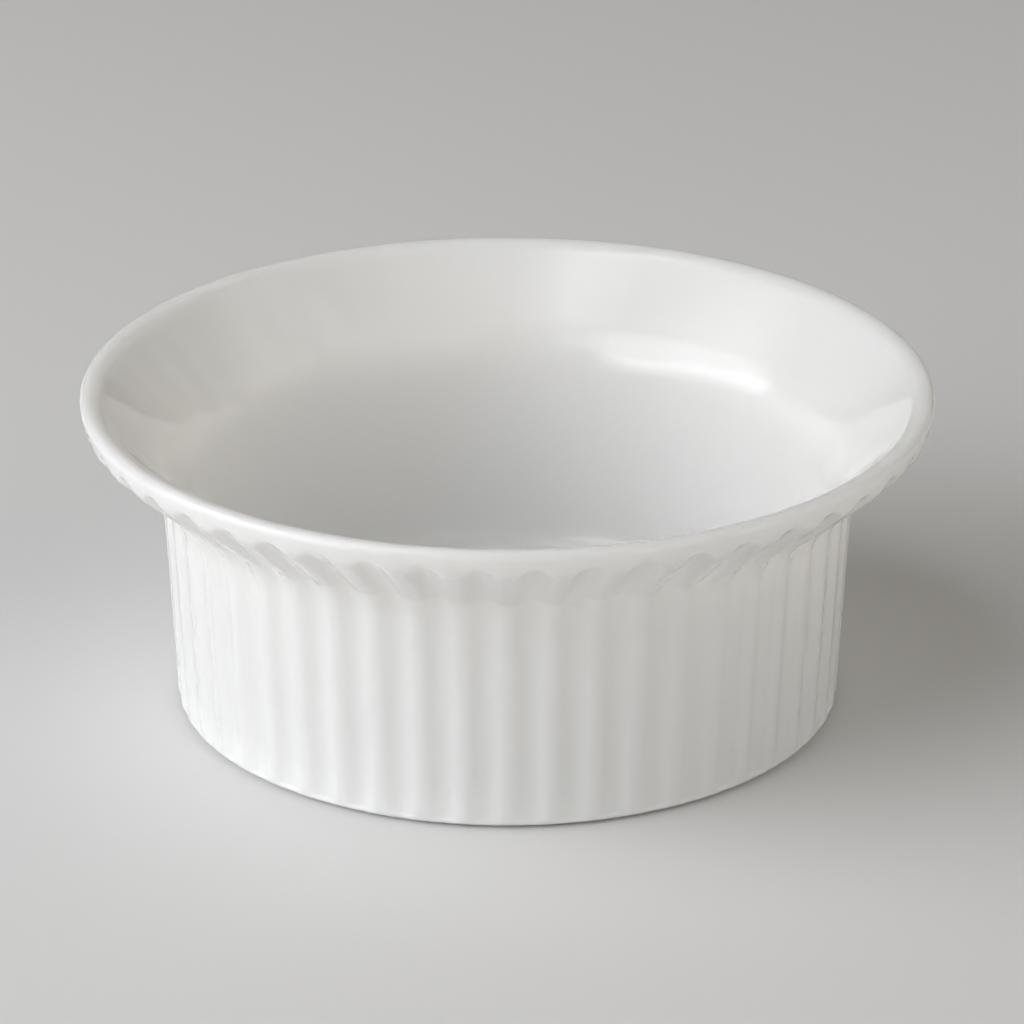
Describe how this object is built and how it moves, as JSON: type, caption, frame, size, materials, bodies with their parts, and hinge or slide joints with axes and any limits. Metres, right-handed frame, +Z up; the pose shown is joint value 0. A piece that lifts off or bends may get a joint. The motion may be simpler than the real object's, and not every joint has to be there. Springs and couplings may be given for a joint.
{
  "type": "coquille dish",
  "caption": "Round fluted baking dish in glazed porcelain, with a smooth inside, a flared mouth, a plain rounded lip and a low foot ring.",
  "frame": {"origin": "middle of the foot, on the table", "axes": "+Z up, along the axis of the round dish, from the foot to the mouth; -Y towards the side that the picture shows in front, where a ridge between two flutes lies"},
  "size_m": [0.13, 0.13, 0.0504],
  "materials": {
    "glazed_porcelain": "White porcelain under a smooth, glossy, clear glaze; the narrow face of the foot ring is bare and matt."
  },
  "bodies": {
    "root": {"fluted_dish": "glazed_porcelain"}
  },
  "joints": []
}
